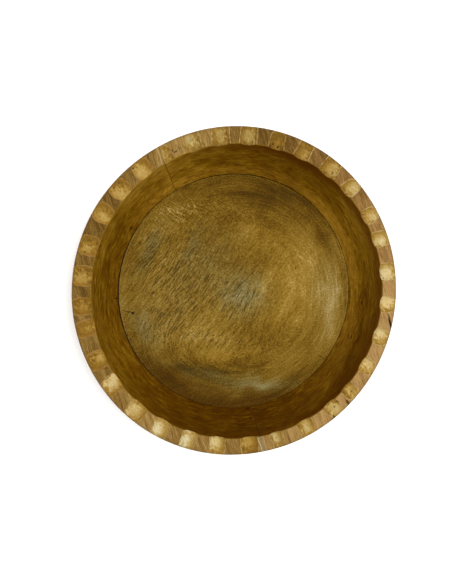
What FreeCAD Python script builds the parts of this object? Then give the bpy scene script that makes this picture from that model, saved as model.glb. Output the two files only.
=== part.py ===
import FreeCAD, Part
import math
import os

import Sketcher

# Thick-walled turned wooden bowl with a gouge-carved rim.
# The wall ring is turned from two boards glued along one vertical chord plane. A separate round floor board is let
# into a rebate in the underside of the ring, and 32 hand-cut gouge scoops run across the rim from the inner edge.
# Frame: origin at the middle of the base, +Z up, +X and +Y across the bowl. Millimetres.

V = FreeCAD.Vector
doc = FreeCAD.newDocument("CarvedBowl")

# ---------------------------------------------------------------- driving dimensions
sheet = doc.addObject("Spreadsheet::Sheet", "Sizes")
row = [0]


def size(alias, value, note):
    row[0] += 1
    n = row[0]
    sheet.set("A%d" % n, alias)
    sheet.set("B%d" % n, "%.6g" % value)
    sheet.setAlias("B%d" % n, alias)
    sheet.set("C%d" % n, note)


size("overall_height", 78, "base to rim")
size("rim_radius", 152.45, "mean outer radius at the rim")
size("oval_share", 0.0105, "long and short half axes are this share over and under the mean, from drying")
size("oval_turn", 64.7, "direction of the long axis, degrees from +X")
size("mouth_radius", 136.2, "mean inner radius at the rim")
size("mouth_shift_x", 2.28, "the hollow leans this far off centre at the rim, along X")
size("mouth_shift_y", -0.74, "and along Y")

size("outer_level_a", 0, "outer wall section heights and mean radii")
size("outer_radius_a", 131.0, "")
size("outer_level_b", 12, "")
size("outer_radius_b", 136.9, "")
size("outer_level_c", 30, "")
size("outer_radius_c", 143.3, "")
size("outer_level_d", 54, "")
size("outer_radius_d", 149.4, "")

size("inner_level_a", 14, "inner wall section heights and mean radii")
size("inner_radius_a", 118.3, "")
size("inner_level_b", 24, "")
size("inner_radius_b", 123.4, "")
size("inner_level_c", 38, "")
size("inner_radius_c", 128.9, "")
size("inner_level_d", 56, "")
size("inner_radius_d", 133.2, "")
size("inner_overrun", 3, "the hollow's last section lies this far over the rim")

size("rim_round_outer", 3.2, "rounding of the rim's outer edge")
size("rim_round_inner", 0.7, "easing of the rim's inner edge")
size("foot_round", 2.4, "rounding of the foot")

size("disc_radius", 124.0, "floor board, outside radius")
size("disc_thickness", 15.2, "floor board thickness at its edge")
size("disc_dish", 0.9, "the floor is turned this much lower at its middle")
size("dish_radius", 116, "radius at which the dish starts")
size("glue_film", 0.5, "glue in the rebate, on the shoulder and round the edge")
size("glue_mouth", 120.6, "radius at which the glue on the shoulder stops, short of the open seam")
size("glue_recess", 0.5, "the glue round the edge stops this far above the base")

size("board_turn", 199.25, "direction from the centre straight across to the joint between the boards")
size("board_offset", 22.0, "distance from the centre to the middle of that joint")
size("joint_film", 0.8, "thickness of the glue and filler in the joint")

# Gouge scoops: direction of the middle, width and depth at the rim's inner edge, and how far out the cut fades, as
# a share of the rim's width. Over 1, the cut runs out through the outer edge.
scoops = [
    (7.0, 16.6, 3.0, 1.70),
    (19.4, 15.9, 3.0, 1.55),
    (28.9, 15.0, 2.7, 1.15),
    (41.3, 15.4, 2.8, 1.20),
    (51.8, 17.8, 3.2, 1.60),
    (63.3, 15.4, 2.8, 1.55),
    (73.8, 15.4, 2.7, 1.10),
    (84.5, 16.6, 3.1, 1.65),
    (94.8, 17.8, 3.2, 1.60),
    (105.7, 15.9, 3.1, 1.70),
    (116.8, 13.4, 2.3, 1.15),
    (127.0, 18.6, 2.9, 0.92),
    (138.3, 19.4, 2.9, 0.90),
    (149.4, 18.8, 2.9, 0.94),
    (162.8, 19.4, 3.0, 0.92),
    (174.5, 20.2, 3.1, 1.10),
    (186.0, 18.4, 2.8, 1.12),
    (194.5, 17.6, 2.6, 1.10),
    (207.0, 18.2, 3.0, 1.15),
    (217.8, 17.8, 3.2, 1.20),
    (230.8, 19.4, 3.2, 1.15),
    (242.0, 16.6, 3.1, 1.20),
    (253.0, 14.4, 3.0, 1.75),
    (263.8, 15.4, 3.0, 1.60),
    (275.8, 17.2, 2.7, 1.50),
    (286.3, 11.6, 2.2, 1.60),
    (297.8, 15.4, 2.8, 1.20),
    (310.3, 15.4, 2.8, 0.93),
    (319.0, 14.4, 2.5, 0.92),
    (330.3, 15.4, 2.8, 0.95),
    (342.5, 16.6, 3.0, 0.94),
    (354.8, 15.4, 2.9, 0.95),
]
for n, (turn, width, depth, reach) in enumerate(scoops, 1):
    size("scoop%02d_turn" % n, turn, "gouge scoop %d, direction of its middle in degrees" % n)
    size("scoop%02d_width" % n, width, "width at the inner edge")
    size("scoop%02d_depth" % n, depth, "depth at the inner edge")
    size("scoop%02d_reach" % n, reach, "share of the rim's width at which it fades")
doc.recompute()


# ---------------------------------------------------------------- helpers
def plane(body, role):
    return [f for f in body.Origin.OriginFeatures if f.Role == role][0]


def add_sketch(body, name, role="XY_Plane"):
    sk = body.newObject("Sketcher::SketchObject", name)
    sk.AttachmentSupport = [(plane(body, role), "")]
    sk.MapMode = "FlatFace"
    return sk


def oval_sketch(body, name, radius, level, lean):
    """An oval of mean radius `radius` at height `level`, moved off centre by the share `lean` of the mouth's shift."""
    sk = add_sketch(body, name)
    sk.addGeometry(Part.Ellipse(V(101, 0, 0), V(0, 99, 0), V(0, 0, 0)), False)
    sk.exposeInternalGeometry(0)
    sk.addConstraint(Sketcher.Constraint("Coincident", 0, 3, -1, 1))
    sk.addConstraint(Sketcher.Constraint("Horizontal", 1))
    a = sk.addConstraint(Sketcher.Constraint("Distance", 1, 202.0))
    b = sk.addConstraint(Sketcher.Constraint("Distance", 2, 198.0))
    sk.renameConstraint(a, "long_axis")
    sk.renameConstraint(b, "short_axis")
    sk.setExpression("Constraints.long_axis", "2 * (%s) * (1 + Sizes.oval_share)" % radius)
    sk.setExpression("Constraints.short_axis", "2 * (%s) * (1 - Sizes.oval_share)" % radius)
    sk.setExpression(
        "AttachmentOffset",
        "placement(vector(Sizes.mouth_shift_x * (%s); Sizes.mouth_shift_y * (%s); %s); rotation(vector(0; 0; 1); Sizes.oval_turn))"
        % (lean, lean, level),
    )
    return sk


def named(sk, kind, *args):
    i = sk.addConstraint(Sketcher.Constraint(kind, *args[1:]))
    sk.renameConstraint(i, args[0])
    return i


# ---------------------------------------------------------------- wall ring, before it is parted into its two boards
ring = doc.addObject("PartDesign::Body", "RingBlank")
floor_level = "(Sizes.disc_thickness + Sizes.glue_film)"

outer = [
    oval_sketch(ring, "OuterA", "Sizes.outer_radius_a", "Sizes.outer_level_a", "0"),
    oval_sketch(ring, "OuterB", "Sizes.outer_radius_b", "Sizes.outer_level_b", "0"),
    oval_sketch(ring, "OuterC", "Sizes.outer_radius_c", "Sizes.outer_level_c", "0"),
    oval_sketch(ring, "OuterD", "Sizes.outer_radius_d", "Sizes.outer_level_d", "0"),
    oval_sketch(ring, "OuterE", "Sizes.rim_radius", "Sizes.overall_height", "0"),
]
doc.recompute()
blank = ring.newObject("PartDesign::AdditiveLoft", "OuterLoft")
blank.Profile = (outer[0], [""])
blank.Sections = [(s, [""]) for s in outer[1:]]
blank.Ruled = False
blank.Closed = False
doc.recompute()


def lean_at(level):
    return "(%s - %s) / (Sizes.overall_height - %s)" % (level, floor_level, floor_level)


inner = []
for letter in "abcd":
    level = "Sizes.inner_level_" + letter
    inner.append(oval_sketch(ring, "Inner" + letter.upper(), "Sizes.inner_radius_" + letter, level, lean_at(level)))
top = "(Sizes.overall_height + Sizes.inner_overrun)"
inner.append(
    oval_sketch(
        ring,
        "InnerE",
        "Sizes.mouth_radius + (Sizes.mouth_radius - Sizes.inner_radius_d) * Sizes.inner_overrun"
        " / (Sizes.overall_height - Sizes.inner_level_d)",
        top,
        lean_at(top),
    )
)
doc.recompute()
hollow = ring.newObject("PartDesign::SubtractiveLoft", "HollowLoft")
hollow.Profile = (inner[0], [""])
hollow.Sections = [(s, [""]) for s in inner[1:]]
hollow.Ruled = False
hollow.Closed = False
doc.recompute()

# Rebate in the underside that takes the floor board.
rebate_sketch = add_sketch(ring, "RebateCircle")
rebate_sketch.addGeometry(Part.Circle(V(0, 0, 0), V(0, 0, 1), 124.5), False)
rebate_sketch.addConstraint(Sketcher.Constraint("Coincident", 0, 3, -1, 1))
named(rebate_sketch, "Radius", "rebate_radius", 0, 124.5)
rebate_sketch.setExpression("Constraints.rebate_radius", "Sizes.disc_radius + Sizes.glue_film")
doc.recompute()
before = ring.Shape.Volume
rebate = ring.newObject("PartDesign::Pocket", "Rebate")
rebate.Profile = (rebate_sketch, [""])
rebate.Reversed = True
rebate.setExpression("Length", floor_level)
doc.recompute()
if ring.Shape.Volume >= before - 1000:
    raise RuntimeError("the rebate cut nothing")


def edges_where(shape, test):
    return ["Edge%d" % (i + 1) for i, e in enumerate(shape.Edges) if test(e)]


def flat_ring_edge(level, low, high):
    def test(e):
        b = e.BoundBox
        if b.ZMax - b.ZMin > 0.05 or abs(b.ZMin - level) > 0.05 or e.Length < 50:
            return False
        mid = e.valueAt((e.FirstParameter + e.LastParameter) / 2)
        return low < math.hypot(mid.x, mid.y) < high

    return test


def add_round(name, base, edges, alias):
    if not edges:
        raise RuntimeError("no edge for " + name)
    f = ring.newObject("PartDesign::Fillet", name)
    f.Base = (base, edges)
    f.setExpression("Radius", "Sizes." + alias)
    doc.recompute()
    return f


height = sheet.overall_height
r1 = add_round("RimOuterRound", rebate, edges_where(rebate.Shape, flat_ring_edge(height, 146, 160)), "rim_round_outer")
r2 = add_round("RimInnerEase", r1, edges_where(r1.Shape, flat_ring_edge(height, 128, 142)), "rim_round_inner")
r3 = add_round("FootRound", r2, edges_where(r2.Shape, flat_ring_edge(0, 128, 134)), "foot_round")
ring.Tip = r3
doc.recompute()

# ---------------------------------------------------------------- gouge scoops
# Each cut is a cylinder whose lowest line slopes down towards the bowl's inside. The cylinder's radius follows from
# the scoop's width and depth at the rim's inner edge. The scoops are cut one after another, as by hand.
carved = ring
for n in range(1, len(scoops) + 1):
    p = "Sizes.scoop%02d_" % n
    turn = "(%sturn * 1deg)" % p
    sweep = "((%swidth * %swidth / 4 + %sdepth * %sdepth) / (2 * %sdepth))" % (p, p, p, p, p)
    edge = "(Sizes.mouth_radius + Sizes.mouth_shift_x * cos(%s) + Sizes.mouth_shift_y * sin(%s))" % (turn, turn)
    slope = "(%sdepth / (%sreach * (Sizes.rim_radius - %s)))" % (p, p, edge)
    back = "14"
    start = "(%s - %s)" % (edge, back)
    lift = "(Sizes.overall_height - %sdepth - %s * %s + %s * sqrt(1 + %s * %s))" % (p, back, slope, sweep, slope, slope)
    gouge = doc.addObject("Part::Cylinder", "Gouge%02d" % n)
    gouge.Height = 46
    gouge.setExpression("Radius", sweep)
    gouge.setExpression(
        "Placement",
        "placement(vector(%s * cos(%s); %s * sin(%s); %s); rotation(%s; 90deg - atan(%s); 0deg) * rotation(vector(0; 0; 1); 180))"
        % (start, turn, start, turn, lift, turn, slope),
    )
    cut = doc.addObject("Part::Cut", "Scooped%02d" % n)
    cut.Base = carved
    cut.Tool = gouge
    cut.Refine = False
    carved = cut
doc.recompute()


def just_under_rim(n):
    """A point in the middle of scoop n, a little under the rim's plane: wood before the cut and air after it."""
    turn = math.radians(scoops[n - 1][0])
    edge = sheet.mouth_radius + sheet.mouth_shift_x * math.cos(turn) + sheet.mouth_shift_y * math.sin(turn)
    return V((edge + 3) * math.cos(turn), (edge + 3) * math.sin(turn), sheet.overall_height - 1)


for n in range(1, len(scoops) + 1):
    if carved.Shape.isInside(just_under_rim(n), 1e-4, True):
        raise RuntimeError("gouge scoop %d cut nothing" % n)
if not carved.Shape.isValid() or len(carved.Shape.Solids) != 1:
    raise RuntimeError("the carved ring is not one valid solid")


# ---------------------------------------------------------------- the two boards and the joint between them
def board_box(name, low, thick, back="-200", deep="400"):
    b = doc.addObject("Part::Box", name)
    b.setExpression("Length", thick)
    b.setExpression("Width", deep)
    b.Height = 120
    turn = "(Sizes.board_turn * 1deg)"
    b.setExpression(
        "Placement",
        "placement(vector((%s) * cos(%s) - (%s) * sin(%s); (%s) * sin(%s) + (%s) * cos(%s); -20); rotation(%s; 0deg; 0deg))"
        % (low, turn, back, turn, low, turn, back, turn, turn),
    )
    return b


near = "(Sizes.board_offset - Sizes.joint_film / 2)"
far = "(Sizes.board_offset + Sizes.joint_film / 2)"
boxes = {
    "wall_board_large": board_box("LargeSide", "-200", near + " + 200"),
    "wall_board_small": board_box("SmallSide", far, "200 - " + far),
    "board_joint_filler_back": board_box("BackJoint", near, "Sizes.joint_film", "-200", "200"),
    "board_joint_filler_front": board_box("FrontJoint", near, "Sizes.joint_film", "0", "200"),
}
doc.recompute()
nodes = {}
for label, box in boxes.items():
    c = doc.addObject("Part::Common", label.title().replace("_", ""))
    c.Base = carved
    c.Tool = box
    c.Refine = False
    c.Label = label
    nodes[label] = c
doc.recompute()

# ---------------------------------------------------------------- floor board
disc = doc.addObject("PartDesign::Body", "FloorBoard")
disc.Label = "floor_disc"
sk = add_sketch(disc, "DiscSection", "XZ_Plane")
arc_low = V(0, 14.3, 0)
pts = [V(0, 0, 0), V(124, 0, 0), V(124, 15.2, 0), V(116, 15.2, 0), arc_low]
sk.addGeometry(Part.LineSegment(pts[0], pts[1]), False)
sk.addGeometry(Part.LineSegment(pts[1], pts[2]), False)
sk.addGeometry(Part.LineSegment(pts[2], pts[3]), False)
sag, half = 0.9, 116.0
big = (half * half + sag * sag) / (2 * sag)
circle = Part.Circle(V(0, 14.3 + big, 0), V(0, 0, 1), big)
a0 = -math.pi / 2
a1 = a0 + math.asin(half / big)
sk.addGeometry(Part.ArcOfCircle(circle, a0, a1), False)
sk.addGeometry(Part.LineSegment(pts[4], pts[0]), False)
C = Sketcher.Constraint
sk.addConstraint(C("Coincident", 0, 1, -1, 1))
sk.addConstraint(C("Coincident", 0, 2, 1, 1))
sk.addConstraint(C("Coincident", 1, 2, 2, 1))
sk.addConstraint(C("Coincident", 2, 2, 3, 2))
sk.addConstraint(C("Coincident", 3, 1, 4, 1))
sk.addConstraint(C("Coincident", 4, 2, 0, 1))
sk.addConstraint(C("Horizontal", 0))
sk.addConstraint(C("Vertical", 1))
sk.addConstraint(C("Horizontal", 2))
sk.addConstraint(C("PointOnObject", 4, 1, -2))
sk.addConstraint(C("PointOnObject", 3, 3, -2))
named(sk, "DistanceX", "disc_radius", 0, 1, 0, 2, 124.0)
named(sk, "DistanceY", "disc_thickness", 1, 1, 1, 2, 15.2)
named(sk, "DistanceX", "dish_radius", -1, 1, 2, 2, 116.0)
named(sk, "DistanceY", "dish_low", -1, 1, 4, 1, 14.3)
sk.setExpression("Constraints.disc_radius", "Sizes.disc_radius")
sk.setExpression("Constraints.disc_thickness", "Sizes.disc_thickness")
sk.setExpression("Constraints.dish_radius", "Sizes.dish_radius")
sk.setExpression("Constraints.dish_low", "Sizes.disc_thickness - Sizes.disc_dish")
doc.recompute()
turned = disc.newObject("PartDesign::Revolution", "DiscTurned")
turned.Profile = (sk, [""])
turned.ReferenceAxis = (sk, ["V_Axis"])
turned.Angle = 360
disc.Tip = turned
doc.recompute()
nodes["floor_disc"] = disc

# ---------------------------------------------------------------- glue in the rebate
glue = doc.addObject("PartDesign::Body", "SeamGlue")
glue.Label = "floor_seam_glue"
sk = add_sketch(glue, "GlueSection", "XZ_Plane")
pts = [V(124, 0.5, 0), V(124.5, 0.5, 0), V(124.5, 15.7, 0), V(120.6, 15.7, 0), V(120.6, 15.2, 0), V(124, 15.2, 0)]
for i in range(6):
    sk.addGeometry(Part.LineSegment(pts[i], pts[(i + 1) % 6]), False)
for i in range(6):
    sk.addConstraint(C("Coincident", i, 2, (i + 1) % 6, 1))
for i in (0, 2, 4):
    sk.addConstraint(C("Horizontal", i))
for i in (1, 3, 5):
    sk.addConstraint(C("Vertical", i))
named(sk, "DistanceX", "film_in", -1, 1, 0, 1, 124.0)
named(sk, "DistanceX", "film_out", -1, 1, 0, 2, 124.5)
named(sk, "DistanceX", "mouth", -1, 1, 3, 1, 120.6)
named(sk, "DistanceY", "recess", -1, 1, 0, 1, 0.5)
named(sk, "DistanceY", "shoulder", -1, 1, 5, 1, 15.2)
named(sk, "DistanceY", "film_top", -1, 1, 2, 1, 15.7)
sk.setExpression("Constraints.film_in", "Sizes.disc_radius")
sk.setExpression("Constraints.film_out", "Sizes.disc_radius + Sizes.glue_film")
sk.setExpression("Constraints.mouth", "Sizes.glue_mouth")
sk.setExpression("Constraints.recess", "Sizes.glue_recess")
sk.setExpression("Constraints.shoulder", "Sizes.disc_thickness")
sk.setExpression("Constraints.film_top", "Sizes.disc_thickness + Sizes.glue_film")
doc.recompute()
bead = glue.newObject("PartDesign::Revolution", "GlueRing")
bead.Profile = (sk, [""])
bead.ReferenceAxis = (sk, ["V_Axis"])
bead.Angle = 360
glue.Tip = bead
doc.recompute()
nodes["floor_seam_glue"] = glue

# ---------------------------------------------------------------- every piece stands at the bowl's own origin
for label, obj in nodes.items():
    obj.Placement = FreeCAD.Placement(V(0, 0, 0), FreeCAD.Rotation(V(0, 0, 1), 0))
doc.recompute()

# ---------------------------------------------------------------- tests, then the files
bad = []
for obj in doc.Objects:
    if any(s in ("Invalid", "Error") for s in obj.State):
        bad.append("%s %s" % (obj.Name, obj.State))
    if obj.isDerivedFrom("Sketcher::SketchObject") and not obj.FullyConstrained:
        bad.append("%s is not fully constrained" % obj.Name)
for label, obj in nodes.items():
    s = obj.Shape
    if s.isNull() or not s.isValid() or s.Volume <= 0:
        bad.append("%s has no valid solid" % label)
    elif len(s.Solids) != 1:
        bad.append("%s has %d solids" % (label, len(s.Solids)))
if bad:
    raise RuntimeError("; ".join(bad))

os.makedirs("parts", exist_ok=True)
for label, obj in nodes.items():
    obj.Shape.exportStep(os.path.join("parts", label + ".step"))
    b = obj.Shape.BoundBox
    print(
        "%-26s volume %10.0f mm3, faces %3d, x %.2f..%.2f y %.2f..%.2f z %.2f..%.2f"
        % (label, obj.Shape.Volume, len(obj.Shape.Faces), b.XMin, b.XMax, b.YMin, b.YMax, b.ZMin, b.ZMax)
    )
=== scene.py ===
import math

import bpy
import numpy as np
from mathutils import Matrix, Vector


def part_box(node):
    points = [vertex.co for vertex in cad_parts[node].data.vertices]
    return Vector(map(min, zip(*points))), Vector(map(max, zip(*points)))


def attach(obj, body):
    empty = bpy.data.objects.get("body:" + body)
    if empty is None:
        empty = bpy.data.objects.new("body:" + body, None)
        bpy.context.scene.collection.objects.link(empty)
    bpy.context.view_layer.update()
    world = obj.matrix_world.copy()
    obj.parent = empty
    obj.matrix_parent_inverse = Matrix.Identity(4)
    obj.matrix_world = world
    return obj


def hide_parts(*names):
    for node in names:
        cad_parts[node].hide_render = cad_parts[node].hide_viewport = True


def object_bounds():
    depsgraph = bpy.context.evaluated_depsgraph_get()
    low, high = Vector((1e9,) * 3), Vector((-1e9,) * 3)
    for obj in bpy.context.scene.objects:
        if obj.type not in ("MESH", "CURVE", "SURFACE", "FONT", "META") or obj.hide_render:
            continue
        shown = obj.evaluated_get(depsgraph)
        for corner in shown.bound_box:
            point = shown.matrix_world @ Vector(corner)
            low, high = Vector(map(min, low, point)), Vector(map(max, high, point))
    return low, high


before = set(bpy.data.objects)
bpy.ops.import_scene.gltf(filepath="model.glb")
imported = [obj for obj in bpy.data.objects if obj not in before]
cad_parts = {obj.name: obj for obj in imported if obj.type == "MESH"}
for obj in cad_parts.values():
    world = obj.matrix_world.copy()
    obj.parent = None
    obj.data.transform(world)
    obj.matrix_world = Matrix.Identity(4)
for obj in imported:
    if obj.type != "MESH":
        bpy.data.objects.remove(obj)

cad_box = [[float(c) for c in corner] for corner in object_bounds()]
scene = bpy.context.scene

# Everything below is worked out in millimetres and written to the meshes in metres.
MM = 0.001
RIM = cad_box[1][2] / MM            # height of the rim over the base
FLOOR = 15.7                        # underside of the wall's inner lip
DISC_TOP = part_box("floor_disc")[1].z / MM
DISC_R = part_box("floor_disc")[1].x / MM
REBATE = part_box("floor_seam_glue")[1].x / MM
TAU = 2 * math.pi


def rad(a):
    return a * math.pi / 180.0


# ------------------------------------------------------------------ seeded noise
def _hash(ix, iy, iz, seed):
    h = (ix.astype(np.int64) * 374761393 + iy.astype(np.int64) * 668265263 + iz.astype(np.int64) * 2147483647 + seed * 974711)
    h = (h ^ (h >> 13)) * 1274126177
    h = h & 0x7FFFFFFF
    h = (h ^ (h >> 16)) * 668265263
    h = h & 0x7FFFFFFF
    return (h % 100003) / 50001.5 - 1.0


def vnoise(x, y, z=0.0, seed=0):
    """Smooth value noise, about -1 to 1."""
    x, y, z = np.broadcast_arrays(np.asarray(x, float), np.asarray(y, float), np.asarray(z, float))
    fx, fy, fz = np.floor(x), np.floor(y), np.floor(z)
    ux, uy, uz = x - fx, y - fy, z - fz
    ux, uy, uz = (u * u * u * (u * (u * 6 - 15) + 10) for u in (ux, uy, uz))
    out = 0.0
    for dx in (0, 1):
        for dy in (0, 1):
            for dz in (0, 1):
                w = (ux if dx else 1 - ux) * (uy if dy else 1 - uy) * (uz if dz else 1 - uz)
                out = out + w * _hash(fx + dx, fy + dy, fz + dz, seed)
    return out


def fbm(x, y, z=0.0, seed=0, octaves=3, gain=0.5):
    total, amp, norm = 0.0, 1.0, 0.0
    for o in range(octaves):
        total = total + amp * vnoise(x * 2**o, y * 2**o, np.asarray(z) * 2**o, seed + 17 * o)
        norm += amp
        amp *= gain
    return total / norm


def step(x, lo, hi):
    t = np.clip((x - lo) / (hi - lo), 0, 1)
    return t * t * (3 - 2 * t)


def around(phi, table):
    """Value at angle phi (radians) from a table of (degrees, value), joined smoothly round the circle."""
    a = np.array([t[0] for t in table], float)
    v = np.array([t[1] for t in table], float)
    d = np.degrees(phi) % 360
    a2 = np.concatenate([a - 360, a, a + 360])
    v2 = np.concatenate([v, v, v])
    return np.interp(d, a2, v2)


# ------------------------------------------------------------------ the ring's surfaces
OVAL, OVAL_TURN = 0.0105, rad(64.7)
SHIFT = (2.28, -0.74)


def curve_through(points):
    z = np.array([p[0] for p in points], float)
    r = np.array([p[1] for p in points], float)
    c = np.polyfit(z, r, len(points) - 1)
    return lambda h: np.polyval(c, h)


outer_r = curve_through([(0, 131.0), (12, 136.9), (30, 143.3), (54, 149.4), (78, 152.45)])
inner_r = curve_through([(14, 118.3), (24, 123.4), (38, 128.9), (56, 133.2), (81, 136.61)])


def oval(phi):
    return 1 + OVAL * np.cos(2 * (phi - OVAL_TURN))


def outer_xy(z, phi):
    r = outer_r(z) * oval(phi) - 0.18
    share = np.clip(z / RIM, 0, 1)
    uneven = 0.20 * np.cos(3 * (phi - rad(-49))) + 0.18 * np.cos(4 * (phi - rad(-21))) + 0.12 * np.cos(5 * (phi - rad(22)))
    r = r + share * np.minimum(uneven, 0.04)
    return r * np.cos(phi), r * np.sin(phi)


def inner_xy(z, phi):
    r = inner_r(z) * oval(phi)
    share = np.clip((z - FLOOR) / (RIM - FLOOR), 0, 1.1)
    r = r + share * (0.22 * np.cos(3 * phi + 0.6) + 0.18 * np.cos(5 * phi - 1.1))
    r = r + 0.10 * fbm(np.cos(phi) * 6, np.sin(phi) * 6, z / 12, seed=5)
    return r * np.cos(phi) + SHIFT[0] * share, r * np.sin(phi) + SHIFT[1] * share


# Gouge scoops: direction of the middle, width, depth (mm), middle of the cut and half length as shares of the rim's
# width, bluntness of its end, slant (mm per mm), then looks: how pale and how creamy, 0 to 1.
SCOOPS = [
    (7.0, 16.8, 2.9, 0.15, 0.98, 5.0, 0.02, 0.94, 0.50),
    (19.4, 15.4, 2.9, 0.12, 1.02, 5.0, -0.03, 0.90, 0.50),
    (28.9, 14.8, 2.7, 0.12, 0.84, 4.0, 0.05, 0.85, 0.45),
    (41.3, 15.2, 2.8, 0.15, 0.82, 4.0, -0.04, 0.66, 0.45),
    (51.8, 17.4, 3.1, 0.15, 1.05, 4.0, 0.03, 0.40, 0.35),
    (63.3, 15.4, 2.8, 0.18, 1.08, 4.0, -0.02, 0.28, 0.30),
    (73.8, 15.4, 2.7, 0.15, 0.86, 3.5, 0.04, 0.05, 0.05),
    (84.5, 16.6, 3.0, 0.15, 1.20, 5.0, 0.00, 0.30, 0.65),
    (94.8, 17.2, 3.0, 0.15, 1.15, 5.0, -0.03, 0.30, 0.60),
    (105.7, 15.9, 3.0, 0.18, 1.20, 5.0, 0.05, 0.55, 0.95),
    (116.8, 12.6, 2.0, 0.15, 0.85, 3.0, 0.10, 0.42, 0.60),
    (127.0, 19.2, 3.1, 0.50, 0.56, 2.6, 0.00, 0.56, 0.10),
    (138.3, 19.8, 3.1, 0.50, 0.55, 2.4, 0.04, 0.52, 0.10),
    (149.4, 19.6, 3.1, 0.50, 0.56, 2.4, -0.03, 0.52, 0.08),
    (162.8, 19.8, 3.0, 0.48, 0.58, 2.8, 0.02, 0.35, 0.15),
    (174.5, 19.8, 3.0, 0.46, 0.64, 2.8, 0.00, 0.26, 0.15),
    (186.0, 17.4, 2.7, 0.46, 0.64, 2.8, -0.04, 0.08, 0.05),
    (194.5, 16.4, 2.4, 0.46, 0.64, 2.8, 0.05, 0.28, 0.02),
    (207.0, 18.2, 3.0, 0.44, 0.66, 2.8, -0.05, 0.44, 0.12),
    (217.8, 17.8, 3.0, 0.28, 0.80, 3.2, 0.06, 0.72, 0.42),
    (230.8, 19.0, 3.1, 0.28, 0.80, 3.2, 0.02, 0.70, 0.40),
    (242.0, 16.6, 3.1, 0.22, 0.92, 4.0, 0.05, 1.02, 0.80),
    (253.0, 14.6, 3.0, 0.15, 1.20, 5.0, -0.02, 1.05, 1.10),
    (263.8, 15.4, 3.0, 0.15, 1.15, 5.0, 0.03, 0.75, 0.45),
    (275.8, 17.2, 2.8, 0.15, 1.15, 5.0, -0.03, 0.32, 0.12),
    (286.3, 11.2, 2.1, 0.15, 1.10, 4.0, 0.04, 0.55, 1.10),
    (297.8, 15.6, 2.8, 0.15, 0.90, 4.0, -0.02, 0.65, 0.55),
    (310.3, 15.6, 2.8, 0.20, 0.76, 3.4, 0.03, 0.62, 0.45),
    (319.0, 14.4, 2.5, 0.18, 0.74, 3.2, -0.03, 0.42, 0.15),
    (330.3, 15.8, 2.8, 0.18, 0.78, 3.4, 0.02, 0.88, 0.25),
    (342.5, 16.4, 2.9, 0.15, 0.84, 4.2, 0.00, 0.98, 0.45),
    (354.8, 15.4, 2.9, 0.15, 0.86, 4.2, -0.02, 0.98, 0.15),
]
RIM_EDGE = [(inner_xy(RIM, np.array([rad(s[0])])), outer_xy(RIM, np.array([rad(s[0])]))) for s in SCOOPS]


def scoop_field(x, y):
    """Depth of the scoops under the rim's plane at (x, y), negative outside them; with the nearest scoop's index,
    the place across it (-1 to 1) and along it (0 at the inner edge, 1 at the outer)."""
    shape = x.shape
    x, y = x.ravel(), y.ravel()
    best = np.full(x.shape, -9.0)
    which = np.zeros(x.shape, int)
    across = np.zeros(x.shape)
    along = np.zeros(x.shape)
    near = np.full(x.shape, 1e9)
    for k, (turn, width, depth, mid, half, blunt, slant, _, _) in enumerate(SCOOPS):
        a = rad(turn)
        (ix, iy), (ox, oy) = RIM_EDGE[k]
        si, so = math.hypot(ix[0], iy[0]), math.hypot(ox[0], oy[0])
        t = -x * math.sin(a) + y * math.cos(a)
        ids = np.nonzero((np.abs(t) < 22) & (x * math.cos(a) + y * math.sin(a) > 60))[0]
        if not len(ids):
            continue
        t = t[ids]
        s = (x[ids] * math.cos(a) + y[ids] * math.sin(a) - si) / (so - si)
        t = t - slant * (s - 0.5) * (so - si)
        t = t + 0.35 * vnoise(s * 4 + 7.3 * k, t * 0.18, 0, seed=11 + k)
        sn = s + 0.035 * vnoise(t * 0.22, s * 2, 0, seed=61 + k)
        egg = 1.0 if 0.36 < mid < 0.6 else 0.0
        back = 0.35 * (sn - mid) ** 2 * (1 - egg) + np.abs((sn - mid) / (half + 0.06)) ** blunt * egg
        d = depth * (1 - np.abs((sn - mid) / half) ** blunt * (sn > mid) - back * (sn <= mid) - (np.abs(t) / (width / 2)) ** (2.3 + 0.8 * (1 - egg)))
        bite = 1.6 if (turn > 335 or turn < 100) else 1.3
        d = d + bite * np.clip(1 - s / 0.26, 0, 1.3) ** 2 * np.clip(1 - (t / (width / 2)) ** 2, 0, 1)
        d = d * np.where(d > 0, 1.0, 0.8)
        # chatter of the gouge along the cut, and a faint ridge between its strokes
        d = d + np.where(d > 0.2, 0.05 * np.sin(s * 9.0 + 1.7 * vnoise(t * 0.3, s * 3, 0, seed=31 + k) + k), 0)
        d = d - 0.16 * np.exp(-(((t - 0.12 * width * math.sin(k * 2.4)) / 1.1) ** 2)) * (d > 0.3)
        d = np.minimum(d, 6.5)
        take = np.abs(t) < near[ids]
        w = ids[take]
        near[w] = np.abs(t[take])
        which[w] = k
        across[w] = t[take] / (width / 2)
        along[w] = s[take]
        best[ids] = np.maximum(best[ids], d)
    return best.reshape(shape), which.reshape(shape), across.reshape(shape), along.reshape(shape)


def land_drop(x, y):
    """The flat lands between the scoops lie a little uneven under the rim's plane."""
    return 0.12 + 0.10 * fbm(x / 14, y / 14, 0.3, seed=3) + 0.05 * fbm(x / 3.0, y / 3.0, 0.7, seed=4)


def top_height(x, y):
    """Height of the rim's upper face, its land and scoops joined by slightly worn arrises."""
    d, which, across, along = scoop_field(x, y)
    land = land_drop(x, y)
    k = 0.30
    h = np.maximum(d, land) + np.maximum(k - np.abs(d - land), 0) ** 2 / (4 * k)
    return RIM - h, d - land, which, across, along


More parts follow.
